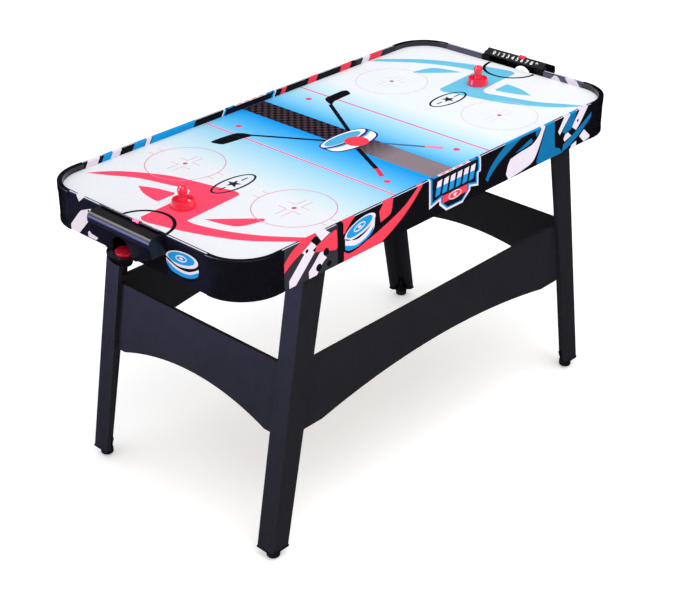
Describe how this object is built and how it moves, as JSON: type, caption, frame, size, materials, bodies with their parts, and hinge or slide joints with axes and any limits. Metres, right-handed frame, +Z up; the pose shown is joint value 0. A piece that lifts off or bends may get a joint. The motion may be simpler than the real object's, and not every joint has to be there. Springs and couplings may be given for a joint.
{
  "type": "air hockey table",
  "caption": "Air hockey table: round-cornered rink with raised rail, goal box and score slide at each end, splayed legs joined by arched stretchers, and a fan under the field.",
  "frame": {"origin": "on the floor, under the middle of the rink", "axes": "+X along the rink towards one goal, +Z up, +Y to the rear side apron, which holds the switch and power inlet"},
  "size_m": [1.5118, 0.6876, 0.8488],
  "materials": {
    "apron_print": "printed film on board, satin",
    "field_print": "printed film, smooth, low gloss",
    "corner_plastic": "fine moulded texture",
    "bare_board": "bare fibreboard",
    "steel": "black zinc",
    "leg_laminate": "black laminate, satin",
    "foot_plastic": "moulded",
    "foot_rubber": "matt",
    "box_plastic": "glossy black",
    "plate_plastic": "black with pale numerals",
    "red_plastic": "glossy red",
    "felt": "felt",
    "puck_plastic": "smooth red",
    "fan_plastic": "moulded black",
    "fan_steel": "black",
    "motor_metal": "satin",
    "lead_jacket": "black jacket"
  },
  "bodies": {
    "table": {"side_apron_rear": "apron_print", "side_apron_front": "apron_print", "end_apron_right": "apron_print", "end_apron_left": "apron_print", "corner_right_rear": "corner_plastic", "corner_right_front": "corner_plastic", "corner_left_rear": "corner_plastic", "corner_left_front": "corner_plastic", "playfield": "field_print", "side_ledger_rear": "bare_board", "side_ledger_front": "bare_board", "end_ledger_right": "bare_board", "end_ledger_left": "bare_board", "field_ribs": "bare_board", "plenum_panel": "bare_board", "leg_blocks": "bare_board", "corner_cleats": "steel", "leg_bolts": "steel", "stretcher_screws": "steel", "goal_box_screws": "steel", "fan_screws": "steel", "leg_right_rear": "leg_laminate", "leg_right_front": "leg_laminate", "leg_left_rear": "leg_laminate", "leg_left_front": "leg_laminate", "side_stretcher_rear": "leg_laminate", "side_stretcher_front": "leg_laminate", "end_stretcher_right": "leg_laminate", "end_stretcher_left": "leg_laminate", "leg_cap_right_rear": "foot_plastic", "leg_cap_right_front": "foot_plastic", "leg_cap_left_rear": "foot_plastic", "leg_cap_left_front": "foot_plastic", "goal_housing_right": "box_plastic", "goal_housing_left": "box_plastic", "goal_tray_right": "box_plastic", "goal_tray_left": "box_plastic", "number_plate_right": "plate_plastic", "number_plate_left": "plate_plastic", "fan_housing": "fan_plastic", "switch_housing": "fan_plastic", "power_inlet": "fan_plastic", "lead_clips": "fan_plastic", "fan_grille": "fan_steel", "fan_motor": "motor_metal", "fan_lead": "lead_jacket"},
    "rotor": {"fan_rotor": "fan_plastic"},
    "rocker": {"switch_rocker": "fan_plastic"},
    "puck": {"puck": "puck_plastic"},
    "slider_right": {"score_slider_right": "red_plastic"},
    "pusher_right": {"pusher_right": "red_plastic", "pusher_felt_right": "felt"},
    "slider_left": {"score_slider_left": "red_plastic"},
    "pusher_left": {"pusher_left": "red_plastic", "pusher_felt_left": "felt"},
    "foot_right_rear": {"leveller_right_rear": "foot_rubber"},
    "foot_right_front": {"leveller_right_front": "foot_rubber"},
    "foot_left_rear": {"leveller_left_rear": "foot_rubber"},
    "foot_left_front": {"leveller_left_front": "foot_rubber"}
  },
  "joints": [
    {"name": "fan_spin", "type": "hinge", "parent": "table", "child": "rotor", "pos_m": [0.15, 0, 0.735], "axis": [0, 0, 1], "continuous": true},
    {"name": "power_rocker", "type": "hinge", "parent": "table", "child": "rocker", "pos_m": [0.25, 0.339, 0.735], "axis": [0, 0, -1], "range_deg": [0, 16]},
    {"name": "score_slide_right", "type": "slide", "parent": "table", "child": "slider_right", "axis": [0, 1, 0], "range_m": [-0.065, 0.103]},
    {"name": "score_slide_left", "type": "slide", "parent": "table", "child": "slider_left", "axis": [0, 1, 0], "range_m": [-0.057, 0.111]},
    {"name": "pusher_slide_left", "type": "slide", "parent": "table", "child": "pusher_left", "axis": [1, 0, 0], "range_m": [-0.1, 0.5]},
    {"name": "pusher_slide_right", "type": "slide", "parent": "table", "child": "pusher_right", "axis": [1, 0, 0], "range_m": [-0.5, 0.13]},
    {"name": "puck_lift", "type": "slide", "parent": "table", "child": "puck", "axis": [-0.9397, 0, 0.342], "range_m": [0, 0.09]},
    {"name": "level_right_rear", "type": "slide", "parent": "table", "child": "foot_right_rear", "axis": [0, 0, -1], "range_m": [0, 0.012]},
    {"name": "level_right_front", "type": "slide", "parent": "table", "child": "foot_right_front", "axis": [0, 0, -1], "range_m": [0, 0.012]},
    {"name": "level_left_rear", "type": "slide", "parent": "table", "child": "foot_left_rear", "axis": [0, 0, -1], "range_m": [0, 0.012]},
    {"name": "level_left_front", "type": "slide", "parent": "table", "child": "foot_left_front", "axis": [0, 0, -1], "range_m": [0, 0.012]}
  ]
}
